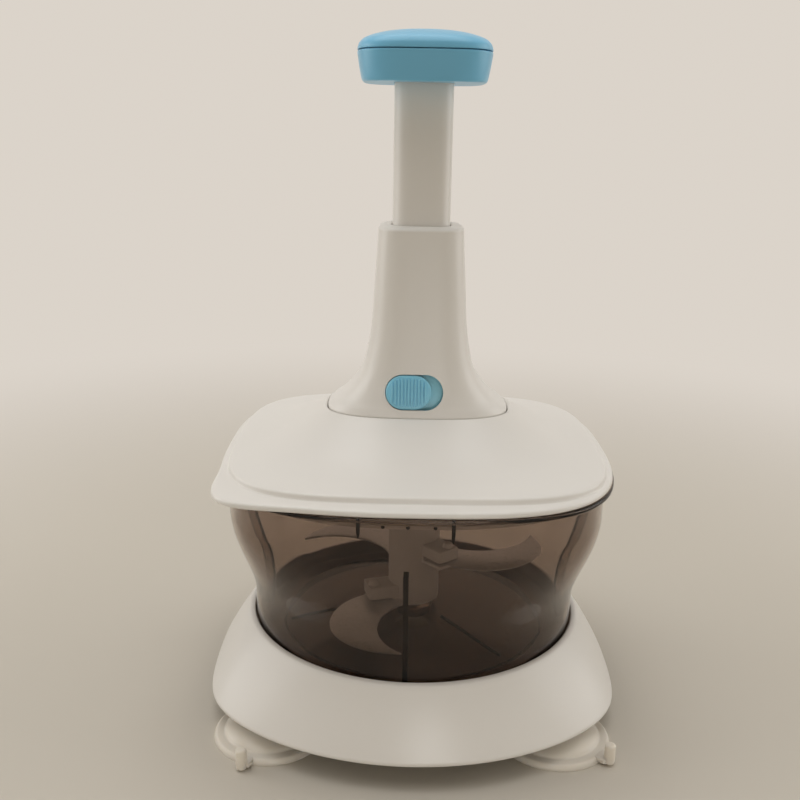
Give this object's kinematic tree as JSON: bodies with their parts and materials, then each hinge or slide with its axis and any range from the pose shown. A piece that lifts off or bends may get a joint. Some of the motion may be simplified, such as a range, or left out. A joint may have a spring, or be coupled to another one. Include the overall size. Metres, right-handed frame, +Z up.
{
  "type": "manual food chopper",
  "caption": "Press-down food chopper: wide suction-foot stand, smoked bowl, domed lid with square tower, lock switch, sprung knob and spinning crescent blades.",
  "frame": {"origin": "on the bench plane, under the middle of the stand", "axes": "+Z up along the plunger, -Y towards the front with the lock switch, +X to the right"},
  "size_m": [0.206, 0.1988, 0.3293],
  "materials": {
    "white_plastic": "warm white moulded plastic, soft gloss",
    "blue_plastic": "sky blue moulded plastic, soft gloss",
    "smoked_plastic": "clear plastic tinted smoke grey",
    "milky_rubber": "translucent milky soft plastic",
    "grey_plastic": "light grey moulded plastic",
    "steel": "bright stainless steel"
  },
  "bodies": {
    "base": {"stand": "white_plastic", "suction_foot_front_left": "milky_rubber", "suction_foot_front_right": "milky_rubber", "suction_foot_rear_left": "milky_rubber", "suction_foot_rear_right": "milky_rubber"},
    "bowl_body": {"bowl": "smoked_plastic", "centre_pin": "steel"},
    "lid": {"lid_cover": "white_plastic", "lid_liner": "white_plastic", "lid_seal": "milky_rubber", "bearing_cup": "white_plastic", "tower_housing": "white_plastic", "thrust_washer": "steel", "return_spring": "steel", "tower_screw_1": "steel", "tower_screw_2": "steel", "tower_screw_3": "steel", "tower_screw_4": "steel", "liner_screw_1": "steel", "liner_screw_2": "steel", "liner_screw_3": "steel", "liner_screw_4": "steel"},
    "plunger": {"plunger_tube": "white_plastic", "knob_skirt": "blue_plastic", "knob_cap": "blue_plastic", "knob_screw": "steel", "drive_nut": "grey_plastic"},
    "rod": {"twisted_rod": "steel", "clutch_driver": "grey_plastic"},
    "socket": {"drive_socket": "grey_plastic"},
    "blades": {"blade_hub": "grey_plastic", "blade_lower": "steel", "blade_middle": "steel", "blade_upper": "steel", "blade_rivet_1": "grey_plastic", "blade_rivet_2": "grey_plastic", "blade_rivet_3": "grey_plastic"},
    "lock": {"lock_button": "blue_plastic", "lock_slider": "blue_plastic"}
  },
  "joints": [
    {"name": "bowl_lift", "type": "slide", "parent": "base", "child": "bowl_body", "axis": [0, 0, 1], "range_m": [0, 0.05]},
    {"name": "lid_lift", "type": "slide", "parent": "bowl_body", "child": "lid", "axis": [0, 0, 1], "range_m": [0, 0.1]},
    {"name": "plunger_press", "type": "slide", "parent": "lid", "child": "plunger", "axis": [0, 0, -1], "range_m": [0, 0.06], "stiffness_N_per_m": 250, "springref_m": -0.02, "deforming": ["return_spring"]},
    {"name": "rod_spin", "type": "hinge", "parent": "lid", "child": "rod", "pos_m": [0, 0, 0.135], "axis": [0, 0, 1], "range_deg": [-541, 0]},
    {"name": "socket_spin", "type": "hinge", "parent": "lid", "child": "socket", "pos_m": [0, 0, 0.127], "axis": [0, 0, 1], "range_deg": [-541, 0]},
    {"name": "blade_spin", "type": "hinge", "parent": "bowl_body", "child": "blades", "pos_m": [0, 0, 0.0475], "axis": [0, 0, 1], "range_deg": [-541, 0]},
    {"name": "lock_slide", "type": "slide", "parent": "lid", "child": "lock", "axis": [1, 0, 0], "range_m": [0, 0.0052]}
  ],
  "couplings": [
    {"joint": "rod_spin", "follows": "plunger_press", "rad_per_m": -157.08},
    {"joint": "socket_spin", "follows": "plunger_press", "rad_per_m": -157.08},
    {"joint": "blade_spin", "follows": "plunger_press", "rad_per_m": -157.08}
  ]
}
